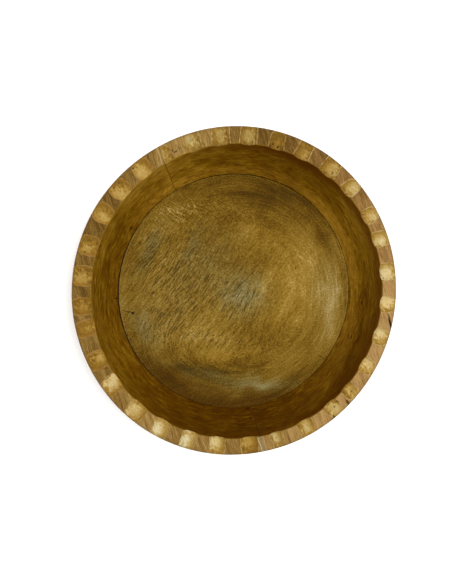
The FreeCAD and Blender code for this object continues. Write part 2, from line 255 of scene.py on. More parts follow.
# ------------------------------------------------------------------ mesh helpers
def new_mesh(name, verts, faces, attrs, smooth=True):
    me = bpy.data.meshes.new(name)
    me.from_pydata([], [], [])
    nv, nf = len(verts), len(faces)
    me.vertices.add(nv)
    me.vertices.foreach_set("co", (np.asarray(verts, np.float32) * MM).ravel())
    sizes = np.array([len(f) for f in faces], np.int32)
    loops = np.concatenate([np.asarray(f, np.int32) for f in faces])
    me.loops.add(len(loops))
    me.loops.foreach_set("vertex_index", loops)
    me.polygons.add(nf)
    starts = np.concatenate([[0], np.cumsum(sizes)[:-1]]).astype(np.int32)
    me.polygons.foreach_set("loop_start", starts)
    me.polygons.foreach_set("loop_total", sizes)
    me.polygons.foreach_set("use_smooth", np.full(nf, smooth))
    me.update(calc_edges=True)
    me.validate()
    me.set_sharp_from_angle(angle=rad(38))
    for key, values in attrs.items():
        a = me.attributes.new(key, "FLOAT", "POINT")
        a.data.foreach_set("value", np.asarray(values, np.float32))
    ob = bpy.data.objects.new(name, me)
    scene.collection.objects.link(ob)
    return ob


def grid_faces(rows, cols, wrap_rows, wrap_cols, flip=False):
    r = np.arange(rows if wrap_rows else rows - 1)
    c = np.arange(cols if wrap_cols else cols - 1)
    R, C = np.meshgrid(r, c, indexing="ij")
    R1, C1 = (R + 1) % rows, (C + 1) % cols
    q = np.stack([R * cols + C, R * cols + C1, R1 * cols + C1, R1 * cols + C], -1).reshape(-1, 4)
    if flip:
        q = q[:, ::-1]
    return q


# ------------------------------------------------------------------ the wall ring's cross-section, row by row
EASE, ROUND_X, ROUND_Z, FOOT = 0.55, 4.6, 3.0, 2.4
N_WALL, N_TOP, N_OUT = 34, 26, 26


def _edge_height(phi):
    z = np.full(phi.shape, RIM)
    for _ in range(3):
        x, y = inner_xy(z, phi)
        z = top_height(x, y)[0]
    return z


_EDGE_PHI = np.linspace(0, TAU, 10801)
_EDGE_Z = _edge_height(_EDGE_PHI)


def edge_height(phi):
    """Where the inner wall meets the rim's upper face."""
    return np.interp(phi % TAU, _EDGE_PHI, _EDGE_Z)


def ring_row(kind, s, phi):
    """One row of the ring's skin at the angles phi: x, y, z and zone values."""
    ze = edge_height(phi)
    inn = np.zeros(phi.shape)
    if kind == "wall":
        z = FLOOR + (ze - EASE - FLOOR) * s
        x, y = inner_xy(z, phi)
        return x, y, z, 1.0
    if kind in ("ease", "top", "round"):
        xi, yi = inner_xy(ze - EASE, phi)
        zo = RIM - ROUND_Z
        xo, yo = outer_xy(np.full(phi.shape, zo), phi)
        w = np.hypot(xo - xi, yo - yi)
        if kind == "ease":
            a = s * math.pi / 2
            d = EASE * (1 - math.cos(a)) + 0 * phi
            x, y = xi + (xo - xi) * d / w, yi + (yo - yi) * d / w
            zt = top_height(x, y)[0]
            z = np.minimum(zt, ze) - EASE * (1 - math.sin(a))
            return x, y, z, 1.0 - 0.8 * s
        if kind == "top":
            d = EASE + (w - EASE - ROUND_X) * s
            x, y = xi + (xo - xi) * d / w, yi + (yo - yi) * d / w
            return x, y, top_height(x, y)[0], 0.0
        a = s * math.pi / 2
        d = w - ROUND_X + ROUND_X * math.sin(a)
        x, y = xi + (xo - xi) * d / w, yi + (yo - yi) * d / w
        zt = top_height(x, y)[0]
        drop = ROUND_Z * (1 - math.cos(a))
        z = RIM - drop - (RIM - zt) * (1 - s * s)
        z = np.minimum(z, RIM - drop)
        return x, y, z, 0.0
    if kind == "outer":
        z = (RIM - ROUND_Z) * (1 - s) + FOOT * s
        x, y = outer_xy(z * np.ones(phi.shape), phi)
        return x, y, z * np.ones(phi.shape), 2.0
    if kind == "foot":
        a = s * math.pi / 2
        z0 = FOOT * (1 - math.sin(a))
        x, y = outer_xy(np.full(phi.shape, FOOT), phi)
        r = np.hypot(x, y)
        k = (r - FOOT * (1 - math.cos(a))) / r
        return x * k, y * k, np.full(phi.shape, z0), 2.0
    if kind == "under":
        x, y = outer_xy(np.full(phi.shape, FOOT), phi)
        r = np.hypot(x, y) - FOOT
        r2 = r + (REBATE - r) * s
        return r2 * np.cos(phi), r2 * np.sin(phi), np.zeros(phi.shape), 3.0
    if kind == "rebate":
        return REBATE * np.cos(phi), REBATE * np.sin(phi), np.full(phi.shape, FLOOR * s), 3.0
    xi, yi = inner_xy(np.full(phi.shape, FLOOR), phi)
    r = np.hypot(xi, yi)
    r2 = REBATE + (r - REBATE) * s
    return r2 * np.cos(phi), r2 * np.sin(phi), np.full(phi.shape, FLOOR), 3.0


def bunch(n, lo=0.0, hi=1.0):
    """n shares from 0 to 1, closer together at the top end."""
    t = np.linspace(0, 1, n)
    return t * 0.55 + 0.45 * np.sin(t * math.pi / 2)


ROWS = [("wall", s) for s in bunch(N_WALL)]
ROWS += [("ease", s) for s in (0.35, 0.7)]
ROWS += [("top", s) for s in np.linspace(0, 1, N_TOP)]
ROWS += [("round", s) for s in (0.2, 0.4, 0.6, 0.8)]
ROWS += [("outer", s) for s in np.linspace(0, 1, N_OUT)]
ROWS += [("foot", s) for s in (0.33, 0.66, 1.0)]
ROWS += [("under", s) for s in (0.5, 1.0)]
ROWS += [("rebate", s) for s in (0.33, 0.66, 1.0)]
ROWS += [("lip", s) for s in (0.5,)]

BOARD_TURN, BOARD_OFF, FILM = rad(199.25), 22.0, 0.8


def meet_plane(kind, s, offset, side):
    """The angle at which a row meets the joint's plane. side +1 is the back joint, -1 the front joint."""
    guess = BOARD_TURN - side * math.acos(offset / 140.0)
    lo, hi = guess - 0.07, guess + 0.07
    for n in (29, 9, 9):
        a = np.linspace(lo, hi, n)
        x, y, _, _ = ring_row(kind, s, a)
        f = x * math.cos(BOARD_TURN) + y * math.sin(BOARD_TURN) - offset
        i = int(np.nonzero((f[:-1] > 0) != (f[1:] > 0))[0][0])
        lo, hi = a[i], a[i + 1]
    return lo + (hi - lo) * f[i] / (f[i] - f[i + 1])


# Tone of the lands, the wall and their warmth, by direction: 0 dark, 1 light; 0 grey-brown, 1 pinkish.
LAND_TONE = [(0, 0.95), (20, 0.62), (33, 0.58), (46, 0.28), (60, 0.34), (74, 0.14), (85, 0.22), (97, 0.62), (112, 0.68), (125, 0.44), (143, 0.28), (156, 0.22),
             (169, 0.26), (185, 0.32), (199, 0.50), (226, 0.52), (237, 0.80), (247, 0.55), (270, 0.52), (290, 0.72), (303, 0.90), (324, 0.78),
             (338, 0.92), (350, 1.0)]
LAND_WARM = [(0, 1.0), (60, 0.9), (80, 0.2), (100, 0.25), (120, 0.35), (200, 0.25), (240, 0.4), (290, 0.5), (320, 0.9)]
WALL_TONE = [(0, 0.50), (30, 0.68), (60, 0.42), (90, 0.48), (120, 0.72), (135, 0.62), (150, 0.44), (180, 0.42), (210, 0.52), (240, 0.26), (270, 0.16),
             (300, 0.24), (330, 0.34)]
HIDDEN = ("foot", "under", "rebate", "lip")


def ring_piece(name, start, end, columns, recess=0.0):
    """A stretch of the ring from joint plane to joint plane. start and end are (offset, side, turns)."""
    P, arc = [], []
    for kind, s in ROWS:
        a = meet_plane(kind, s, start[0], start[1]) + start[2] * TAU
        b = meet_plane(kind, s, end[0], end[1]) + end[2] * TAU
        turns = a + (b - a) * np.linspace(0, 1, columns)
        x, y, z, _ = ring_row(kind, s, turns)
        P.append(np.stack([x, y, z], -1))
        arc.append(turns * 130.0)
    P = np.array(P)
    rows, cols = P.shape[:2]
    inner = np.array([{"wall": 1.0, "ease": 1 - 0.8 * s}.get(kind, 0.0) for kind, s in ROWS])
    outer = np.array([0.0 if kind in ("wall", "ease", "top") else s if kind == "round" else 1.0 for kind, s in ROWS])
    if recess:
        # the visible faces of a filler lie a little under the boards beside it
        c = P.mean(axis=(0, 1))
        out = P - c
        out /= np.linalg.norm(out, axis=-1, keepdims=True) + 1e-9
        keep = np.array([kind not in HIDDEN for kind, _ in ROWS])[:, None, None]
        P = P - out * recess * keep
    faces = [tuple(int(i) for i in f) for f in grid_faces(rows, cols, True, False, flip=True)]
    faces.append(tuple(int(r * cols) for r in reversed(range(rows))))
    faces.append(tuple(int(r * cols + cols - 1) for r in range(rows)))
    x, y, z = P[..., 0], P[..., 1], P[..., 2]
    _, cut, which, across, along = top_height(x, y)
    wide = lambda v: np.repeat(v[:, None], cols, 1)
    on_top = (wide(inner) < 0.9) & (wide(outer) < 0.95)
    cut = np.where(on_top, cut, -3.0)
    looks = np.array([[q[7], q[8]] for q in SCOOPS])
    phi = np.arctan2(y, x) % TAU
    attrs = {
        "cut": cut,
        "pale": looks[which, 0],
        "cream": looks[which, 1],
        "lean1": np.sin(which * 12.9 + 0.7) * 0.38,
        "lean2": np.sin(which * 7.31 + 2.1) * 0.16,
        "size": 0.18 * np.sin(which * 4.7 + 1.0) + 0.26 * looks[which, 0],
        "across": across,
        "along": along,
        "inner": wide(inner),
        "outer": wide(outer),
        "tall": np.clip((z - FLOOR) / (RIM - FLOOR), 0, 1),
        "tone": around(phi, LAND_TONE),
        "warm": around(phi, LAND_WARM),
        "walltone": around(phi, WALL_TONE),
        # painted shadow of the rim on the upper inner wall, strength by direction, strongest on the right
        "upper_wall_shadow": around(phi, [(0, 0.7), (60, 0.75), (95, 0.50), (118, 0.10), (140, 0.10), (165, 0.15), (215, 0.20), (250, 0.15), (290, 0.25), (330, 0.6)]),
        # painted light on the upper wall, strongest on the left side that faces the light
        "lit_upper_wall": around(phi, [(0, 0.12), (30, 0.14), (60, 0.0), (90, 0.06), (120, 0.22), (150, 0.26), (180, 0.24), (210, 0.12), (240, 0.10), (270, 0.0), (300, 0.06), (330, 0.04)]),
        "worn": around(phi, [(0, 0.9), (60, 0.9), (75, 0.35), (84, 1.0), (106, 1.0), (115, 0.4), (125, 0.18), (200, 0.25), (230, 0.35), (250, 0.6), (300, 0.6), (330, 0.9)]),
        "swing": around(phi, [(0, 0.0), (115, 0.0), (125, 0.02), (152, 0.03), (165, 0.07), (212, 0.08), (225, 0.03), (300, 0.0)]),
        "mottled": around(phi, [(0, 0.90), (115, 0.90), (122, 0.35), (152, 0.38), (163, 0.75), (215, 0.85), (230, 0.90)]),
        # painted shadow of the rim on the wall: its strength, and the height on the wall of its lower edge, by
        # direction
        "rim_cast_shadow": around(phi, [(0, 0.12), (30, 0.05), (60, 0.12), (80, 0), (290, 0), (306, 0.30), (322, 0.38), (338, 0.30), (350, 0.15)]),
        "shadow_line": around(phi, [(0, 0.26), (60, 0.24), (290, 0.25), (303, 0.80), (312, 0.66), (322, 0.50), (335, 0.36), (350, 0.28)]),
        # painted light on the lower wall below the rim's shadow, by direction
        "lit_strip": around(phi, [(0, 0.55), (15, 0.9), (45, 1.0), (62, 0.5), (80, 0.3), (110, 0.6), (135, 0.5), (150, 0.1), (200, 0.2), (230, 0), (298, 0), (308, 0.16), (320, 0.26), (332, 0.50), (345, 0.55)]),
        "joint": x * math.cos(BOARD_TURN) + y * math.sin(BOARD_TURN) - BOARD_OFF,
        "front": np.where(y < 0, 1.0, 0.0),
        "arc": np.array(arc),
        "up": z,
    }
    return new_mesh(name, P.reshape(-1, 3), faces, {k: v.ravel() for k, v in attrs.items()})


half = FILM / 2
large = ring_piece("wall_large_board", (BOARD_OFF - half, -1, 0), (BOARD_OFF - half, 1, 1), 790)
small = ring_piece("wall_small_board", (BOARD_OFF + half, 1, 0), (BOARD_OFF + half, -1, 0), 650)
back = ring_piece("joint_filler_back", (BOARD_OFF - half, 1, 0), (BOARD_OFF + half, 1, 0), 4, 0.12)
front = ring_piece("joint_filler_front", (BOARD_OFF + half, -1, 0), (BOARD_OFF - half, -1, 0), 4, 0.10)

# ------------------------------------------------------------------ floor board
def lip_radius(phi):
    x, y = inner_xy(np.full(phi.shape, FLOOR), phi)
    return np.hypot(x, y)


# visible width of the open seam round the floor, mm, by direction
GAP = [(0, 0.24), (25, 0.45), (45, 0.62), (60, 0.62), (80, 0.75), (100, 0.75), (115, 0.40), (135, 0.50), (150, 0.75), (170, 1.10), (195, 1.12), (210, 0.85),
       (225, 0.65), (240, 0.30), (270, 0.15), (300, 0.18), (330, 0.28)]


# Patches of colour in the floor: kind, strength, middle x and y, half sizes (mm), turn of the longer side (degrees).
FLOOR_PATCHES = [
    ("green", 1.3, 6, -2, 21, 20, 0), ("light", 0.52, 7, -4, 20, 18, 0), ("light", 0.9, 31, 7, 12, 5, 60), ("gold", 1.0, 60, -1, 50, 24, 82),
    ("light", 0.36, 62, 22, 34, 18, 75), ("light", 1.05, 101, -10, 42, 11, 87), ("light", 0.42, 78, 2, 30, 13, 88), ("light", 0.32, 93, -6, 44, 15, 88), ("green", 0.38, 98, -8, 44, 12, 88), ("light", 0.38, 72, 44, 22, 14, -45), ("green", 1.3, 32, -97, 32, 8, -3),
    ("light", 0.75, 34, -97, 28, 6, -3), ("green", 0.9, -38, -84, 42, 7, -14), ("dark", 0.40, -42, -82, 38, 6, -14), ("gold", 0.6, -18, -50, 36, 10, 3),
    ("light", 0.35, -18, -49, 32, 8, 3), ("gold", 1.0, -17, -66, 40, 7, 2), ("light", 0.40, -60, 80, 26, 14, 25), ("green", 0.9, -86, 40, 24, 7, 62),
    ("dark", 0.18, -87, 40, 24, 4, 62), ("green", 0.85, -43, 43, 24, 8, 60), ("light", 0.50, -78, 6, 48, 24, 50), ("green", 0.7, -91, -39, 15, 9, -60),
    ("light", 0.40, -36, -32, 30, 18, 45), ("light", 0.35, 44, -28, 26, 18, 20), ("light", 0.5, -113, -6, 34, 4, 88), ("light", 0.5, 60, -70, 30, 12, 35),
    ("dark", 0.5, 14, -116, 100, 8, 4), ("dark", 0.6, -64, -98, 40, 11, -35), ("green", 0.18, -74, -22, 46, 36, 60), ("dark", 0.48, 52, 98, 34, 11, -32), ("dark", 0.55, 10, 100, 60, 12, -3),
    ("dark", 0.34, -18, 72, 46, 15, 8), ("dark", 0.6, 92, 62, 24, 8, -55), ("dark", 0.45, 0, -78, 50, 8, 2), ("gold", 0.5, 92, -50, 26, 16, 50),
    ("dark", 0.12, -40, 34, 24, 16, 50), ("dark", 0.16, 48, -12, 20, 14, 80), ("dark", 0.2, 78, -48, 30, 16, 50), ("gold", 0.6, 20, 60, 50, 20, -25), ("dark", 0.5, 60, -96, 34, 9, 32),
    ("porey", 1.0, 4, -8, 26, 26, 0), ("porey", 0.85, -60, 25, 50, 32, 55), ("porey", 0.75, -62, -28, 48, 26, 40), ("porey", 0.9, -22, -50, 34, 11, 0),
    ("torn", 1.0, -58, 79, 30, 14, 22), ("torn", 0.5, -8, 80, 34, 10, -8), ("green", 0.5, -25, 28, 40, 16, 50), ("light", 0.3, -36, -40, 26, 14, 30), ("light", 0.5, -69, -40, 20, 13, 40), ("dark", 0.45, -46, -69, 20, 8, -10), ("dark", 0.38, 30, -44, 26, 14, 0), ("dark", 0.22, 40, 69, 24, 14, -30), ("light", 0.45, -92, 56, 16, 10, 60), ("porey", 0.5, -92, 40, 30, 20, 60),
]


def floor_piece():
    cols = 600
    phi = np.linspace(0, TAU, cols, endpoint=False)
    lip = lip_radius(phi)
    gap = around(phi, GAP) + 0.12 * fbm(np.cos(phi) * 14, np.sin(phi) * 14, 0, seed=9)
    edge = lip - np.clip(gap, 0.08, None)
    rows = []
    zone = []
    for s in np.append(np.linspace(0.004, 0.997, 104), 1.0):
        r = edge * s
        rows.append((r * np.cos(phi), r * np.sin(phi), None))
        zone.append(0.0)
    flat = len(rows)
    for dr, dz in ((0.05, -0.10), (0.10, -0.45), (0.20, -1.1)):
        r = edge + dr
        rows.append((r * np.cos(phi), r * np.sin(phi), DISC_TOP + dz + 0 * phi))
        zone.append(1.0)
    inner = np.maximum(edge + 1.2, lip + 0.3)
    rows.append((inner * np.cos(phi), inner * np.sin(phi), DISC_TOP - 1.2 + 0 * phi))
    zone.append(1.0)
    r = np.maximum(inner + 0.3, 121.6)
    rows.append((r * np.cos(phi), r * np.sin(phi), DISC_TOP + 0 * phi))
    zone.append(1.0)
    for r, z in ((DISC_R - 0.2, DISC_TOP), (DISC_R, DISC_TOP - 0.2), (DISC_R, 8.0), (DISC_R, 0.5), (DISC_R - 0.5, 0.0)):
        rows.append((r * np.cos(phi), r * np.sin(phi), z + 0 * phi))
        zone.append(2.0)
    for s in (0.9, 0.75, 0.6, 0.45, 0.3, 0.15, 0.02):
        r = (DISC_R - 0.5) * s
        rows.append((r * np.cos(phi), r * np.sin(phi), 0.0 + 0 * phi))
        zone.append(3.0)
    P = np.zeros((len(rows), cols, 3))
    for i, (x, y, z) in enumerate(rows):
        P[i, :, 0], P[i, :, 1] = x, y
        if z is None:
            r = np.hypot(x, y)
            dish = 0.9 * np.clip(1 - (r / 116.0) ** 2, 0, 1)
            ripple = 0.03 * np.sin(r * 1.9 + 0.8 * vnoise(x / 30, y / 30, 0, seed=2)) * step(r, 20, 60)
            rough = 0.05 * fbm(x / 5, y / 5, 0, seed=8)
            boss = 0.12 * np.exp(-((r - 15.5) / 0.8) ** 2)
            P[i, :, 2] = DISC_TOP - 0.06 - dish + ripple + rough - boss
        else:
            P[i, :, 2] = z
    Z = np.repeat(np.array(zone)[:, None], cols, 1)
    n = len(rows)
    verts = list(P.reshape(-1, 3))
    faces = [tuple(int(i) for i in f) for f in grid_faces(n, cols, False, True, flip=True)]
    top_mid = len(verts)
    verts.append(np.array([0, 0, P[0, :, 2].mean()]))
    bottom_mid = len(verts)
    verts.append(np.array([0, 0, 0.0]))
    for c in range(cols):
        faces.append((top_mid, int(c), int((c + 1) % cols)))
        faces.append((bottom_mid, int((n - 1) * cols + (c + 1) % cols), int((n - 1) * cols + c)))
    verts = np.array(verts)
    zone_all = np.concatenate([Z.ravel(), [0.0, 3.0]])
    x, y = verts[:, 0], verts[:, 1]
    r = np.hypot(x, y)
    ph = np.arctan2(y, x) % TAU
    e = np.interp(ph, np.append(phi, TAU), np.append(edge, edge[0]))
    # the figure: straight slanting fibres over the left and middle, bending round with the seam at the right and front
    lean = rad(54)
    straight = -x * np.sin(lean) + y * np.cos(lean)
    bend = step(r, 72, 112) * np.clip(around(ph, [(0, 1), (60, 0.9), (85, 0.6), (120, 0.1), (200, 0.0), (235, 0.45), (270, 1), (330, 1)]), 0, 1)
    straight = straight - 9 * step(x, -30, 60) * x / 60 + 4 * fbm(x / 45, y / 45, 0, seed=46)
    signed = np.where(ph > math.pi, ph - TAU, ph)
    gv = straight * (1 - bend) + r * bend
    gu = (x * np.cos(lean) + y * np.sin(lean)) * (1 - bend) + signed * 80 * bend
    cx, cy = x - 6, y + 4
    rings = np.hypot(cx, cy * 0.97) + 3.0 * fbm(x / 40, y / 40, 2, seed=47)
    ring_on = step(r, 44, 74) * np.clip(around(ph, [(0, 1), (60, 0.9), (100, 0.8), (135, 0.15), (170, 0), (215, 0), (240, 0.5), (270, 0.9), (320, 0.8)]), 0, 1)
    wx = x + 7 * fbm(x / 18, y / 18, 0, seed=41) + 2 * fbm(x / 5, y / 5, 0, seed=43)
    wy = y + 7 * fbm(x / 18, y / 18, 5, seed=42) + 2 * fbm(x / 5, y / 5, 5, seed=44)
    patches = {k: np.zeros(len(verts)) for k in ("gold", "green", "light", "dark", "porey", "torn")}
    for key, amount, px, py, sx, sy, turn in FLOOR_PATCHES:
        a = rad(turn)
        u = (wx - px) * math.cos(a) + (wy - py) * math.sin(a)
        v = -(wx - px) * math.sin(a) + (wy - py) * math.cos(a)
        patches[key] += amount * np.exp(-((u / sx) ** 2) - (v / sy) ** 2)
    attrs = {"top": (zone_all < 0.5) * 1.0, "under": (zone_all > 1.5) * 1.0, "edge": e - r, "gv": gv, "gu": gu, "rv": rings, "ru": np.arctan2(cy, cx) * 80,
             "edge_glint": around(ph, [(0, 0.9), (20, 0.5), (40, 0.0), (140, 0.1), (155, 0.9), (200, 1.0), (215, 0.3), (235, 0), (315, 0), (335, 0.5)]),
             "rings": ring_on, "red": step(np.hypot(wx, wy) - around(ph, [(0, 12), (200, 8), (235, 2), (258, 4), (270, 6), (280, 11), (303, 17), (330, 18)]), 88, 104) * around(ph, [(0, 0), (200, 0), (218, 0.5), (235, 0.9), (262, 1), (288, 0.9), (303, 0.5), (322, 0.0)])}
    attrs.update(patches)
    return new_mesh("floor_board", verts, faces, attrs)


floor_ob = floor_piece()


# ------------------------------------------------------------------ dark glue in the rebate
def glue_piece():
    cols = 360
    phi = np.linspace(0, TAU, cols, endpoint=False)
    lip = lip_radius(phi)
    mouth = np.maximum(lip + 0.9 + 0.35 * fbm(np.cos(phi) * 20, np.sin(phi) * 20, 0, seed=21), 119.6)
    loop = [(DISC_R, 0.5), (REBATE, 0.5), (REBATE, DISC_TOP + 0.5), (None, DISC_TOP + 0.5), (None, DISC_TOP), (DISC_R, DISC_TOP)]
    P = np.zeros((len(loop), cols, 3))
    for i, (r, z) in enumerate(loop):
        rr = mouth if r is None else np.full(cols, r)
        wav = 0.06 * fbm(np.cos(phi) * 30, np.sin(phi) * 30, i, seed=22) if r is None or z == 0.5 else 0
        P[i, :, 0], P[i, :, 1], P[i, :, 2] = rr * np.cos(phi), rr * np.sin(phi), z + np.abs(wav) * (1 if z < 1 else 0)
    faces = [tuple(int(i) for i in f) for f in grid_faces(len(loop), cols, True, True)]
    return new_mesh("floor_glue_line", P.reshape(-1, 3), faces, {}, smooth=False)


glue_ob = glue_piece()


# ------------------------------------------------------------------ materials
UP_LIGHT = 1.82                     # how brightly the studio lights a white level surface


def tint(r, g, b, share=1.0):
    """Scene colour of a surface that should show as this sRGB colour where the light on it is UP_LIGHT * share."""
    return tuple(((v / 255 / 12.92) if v <= 10 else ((v / 255 + 0.055) / 1.055) ** 2.4) / (UP_LIGHT * share) for v in (r, g, b)) + (1.0,)


class Graph:
    def __init__(self, name):
        self.mat = bpy.data.materials.new(name)
        self.mat.use_nodes = True
        self.tree = self.mat.node_tree
        self.tree.nodes.clear()
        self.out = self.node("ShaderNodeOutputMaterial")
        self.skin = self.node("ShaderNodeBsdfPrincipled")
        self.tree.links.new(self.skin.outputs[0], self.out.inputs[0])
        self.here = self.node("ShaderNodeTexCoord").outputs["Object"]

    def node(self, kind, **props):
        n = self.tree.nodes.new(kind)
        for k, v in props.items():
            setattr(n, k, v)
        return n

    def put(self, socket, value):
        if isinstance(value, bpy.types.NodeSocket):
            self.tree.links.new(value, socket)
        elif value is not None:
            socket.default_value = value

    def m(self, op, a, b=None, c=None, clamp=False):
        n = self.node("ShaderNodeMath", operation=op, use_clamp=clamp)
        for i, v in enumerate((a, b, c)):
            self.put(n.inputs[i], v)
        return n.outputs[0]

    def add(self, a, b):
        return self.m("ADD", a, b)

    def mul(self, a, b):
        return self.m("MULTIPLY", a, b)

    def sub(self, a, b):
        return self.m("SUBTRACT", a, b)

    def sat(self, a):
        return self.m("ADD", a, 0.0, clamp=True)

    def step(self, x, lo, hi, a=0.0, b=1.0):
        n = self.node("ShaderNodeMapRange", interpolation_type="SMOOTHSTEP")
        for i, v in enumerate((x, lo, hi, a, b)):
            self.put(n.inputs[i], v)
        return n.outputs[0]

    def attr(self, name):
        return self.node("ShaderNodeAttribute", attribute_name=name).outputs["Fac"]

    def frame(self, turn, along, across, up, offset=(0, 0, 0), source=None):
        """Coordinates turned about the vertical, then measured in lengths along, across and up (mm)."""
        n = self.node("ShaderNodeMapping", vector_type="TEXTURE")
        self.put(n.inputs["Vector"], source or self.here)
        n.inputs["Location"].default_value = tuple(v * MM for v in offset)
        n.inputs["Rotation"].default_value = (0, 0, rad(turn))
        n.inputs["Scale"].default_value = (along * MM, across * MM, up * MM)
        return n.outputs[0]

    def xyz(self, x, y, z=0.0):
        n = self.node("ShaderNodeCombineXYZ")
        for i, v in enumerate((x, y, z)):
            self.put(n.inputs[i], v)
        return n.outputs[0]

    def noise(self, vec, scale=1.0, detail=2.0, rough=0.5, warp=0.0, kind="Fac"):
        n = self.node("ShaderNodeTexNoise")
        self.put(n.inputs["Vector"], vec)
        n.inputs["Scale"].default_value = scale
        n.inputs["Detail"].default_value = detail
        n.inputs["Roughness"].default_value = rough
        n.inputs["Distortion"].default_value = warp
        return n.outputs[kind]

    def bent(self, amount, size, source=None):
        """Coordinates pushed about by slow noise, so that grain wanders."""
        c = self.noise(self.frame(0, size, size, size), 1.0, 1.0, 0.5, 0.0, "Color")
        n = self.node("ShaderNodeVectorMath", operation="MULTIPLY_ADD")
        self.put(n.inputs[0], c)
        n.inputs[1].default_value = (amount * MM,) * 3
        self.put(n.inputs[2], source or self.here)
        return n.outputs[0]

    def spot(self, x, y, z, long, wide_, tall, turned):
        """1 inside an ellipsoid mark, 0 outside, with a soft edge."""
        n = self.node("ShaderNodeVectorMath", operation="LENGTH")
        self.put(n.inputs[0], self.frame(turned, long, wide_, tall, (x, y, z)))
        return self.step(n.outputs["Value"], 1.15, 0.7)

    def mix(self, f, a, b, mode="MIX"):
        n = self.node("ShaderNodeMix", data_type="RGBA", blend_type=mode)
        self.put(n.inputs["Factor"], f)
        self.put(n.inputs[6], a)
        self.put(n.inputs[7], b)
        return n.outputs[2]

    def ramp(self, f, stops):
        n = self.node("ShaderNodeValToRGB")
        el = n.color_ramp.elements
        while len(el) < len(stops):
            el.new(0.5)
        for e, (p, c) in zip(el, stops):
            e.position = p
            e.color = c
        self.put(n.inputs[0], f)
        return n.outputs[0]

    def bump(self, height, strength, distance):
        n = self.node("ShaderNodeBump")
        n.inputs["Strength"].default_value = strength
        n.inputs["Distance"].default_value = distance * MM
        self.put(n.inputs["Height"], height)
        self.tree.links.new(n.outputs[0], self.skin.inputs["Normal"])


# Dark pits and cracks: rim by direction, radius, turn, half length, half width (mm), strength; wall by direction and height.
RIM_MARKS = [
    (129.5, 147.1, 0, 1.0, 1.0, 0.95), (348.0, 148.2, -74, 8.4, 1.35, 1.0), (350.6, 145.5, -58, 4.0, 0.8, 0.8), (315.5, 148.0, -60, 3.2, 1.4, 0.85), (308.5, 150.0, -40, 2.4, 1.2, 0.8),
    (73.0, 139.5, 0, 1.2, 1.0, 0.8), (75.0, 141.0, 30, 1.3, 0.9, 0.8), (76.0, 138.5, 0, 1.0, 0.8, 0.7), (50.0, 142.5, 60, 1.6, 0.9, 0.7),
    (30.5, 139.0, 0, 1.1, 0.9, 0.5), (165.5, 143.0, 40, 1.2, 0.8, 0.7), (162.8, 142.0, 0, 0.9, 0.9, 0.5), (139.5, 147.0, 60, 1.8, 0.6, 0.7),
    (137.0, 146.5, 70, 1.6, 0.5, 0.6), (112.8, 139.5, 30, 2.4, 0.8, 0.8), (113.8, 141.5, 100, 1.8, 0.8, 0.7), (181.5, 143.0, 140, 9.0, 0.5, 0.45),
    (310.8, 143.0, 0, 0.9, 0.9, 0.7), (319.5, 144.0, 0, 1.0, 0.8, 0.6), (313.0, 140.5, 20, 1.2, 0.8, 0.6), (262.0, 146.0, 0, 0.9, 0.8, 0.4),
    (243.0, 143.0, 0, 0.9, 0.9, 0.4), (97.0, 146.0, 0, 0.9, 0.8, 0.45), (205.0, 142.0, 10, 1.4, 0.8, 0.5), (218.6, 143.5, 0, 0.9, 0.9, 0.35),
]
WALL_MARKS = [(148.5, 23, 2.6, 2.2, 0.75), (354.5, 36, 2.0, 1.8, 0.7), (338.5, 33, 2.4, 1.6, 0.7), (277.0, 18.5, 2.2, 1.8, 0.85), (277.6, 34, 1.8, 2.4, 0.7),
              (183.8, 18.8, 1.0, 2.4, 0.8)]
FLOOR_MARKS = [(-103.1, -23.0, 0, 1.7, 1.5, 0.95), (-109.0, -21.5, -14, 5.0, 0.5, 0.7), (90.8, -68.3, -32, 4.5, 0.5, 0.8), (-20, -46, 30, 1.2, 0.8, 0.6),
               (64, 23, 70, 1.6, 0.7, 0.7), (30, -60, 20, 1.0, 0.8, 0.6), (-40, 61, 60, 2.5, 0.5, 0.5)]


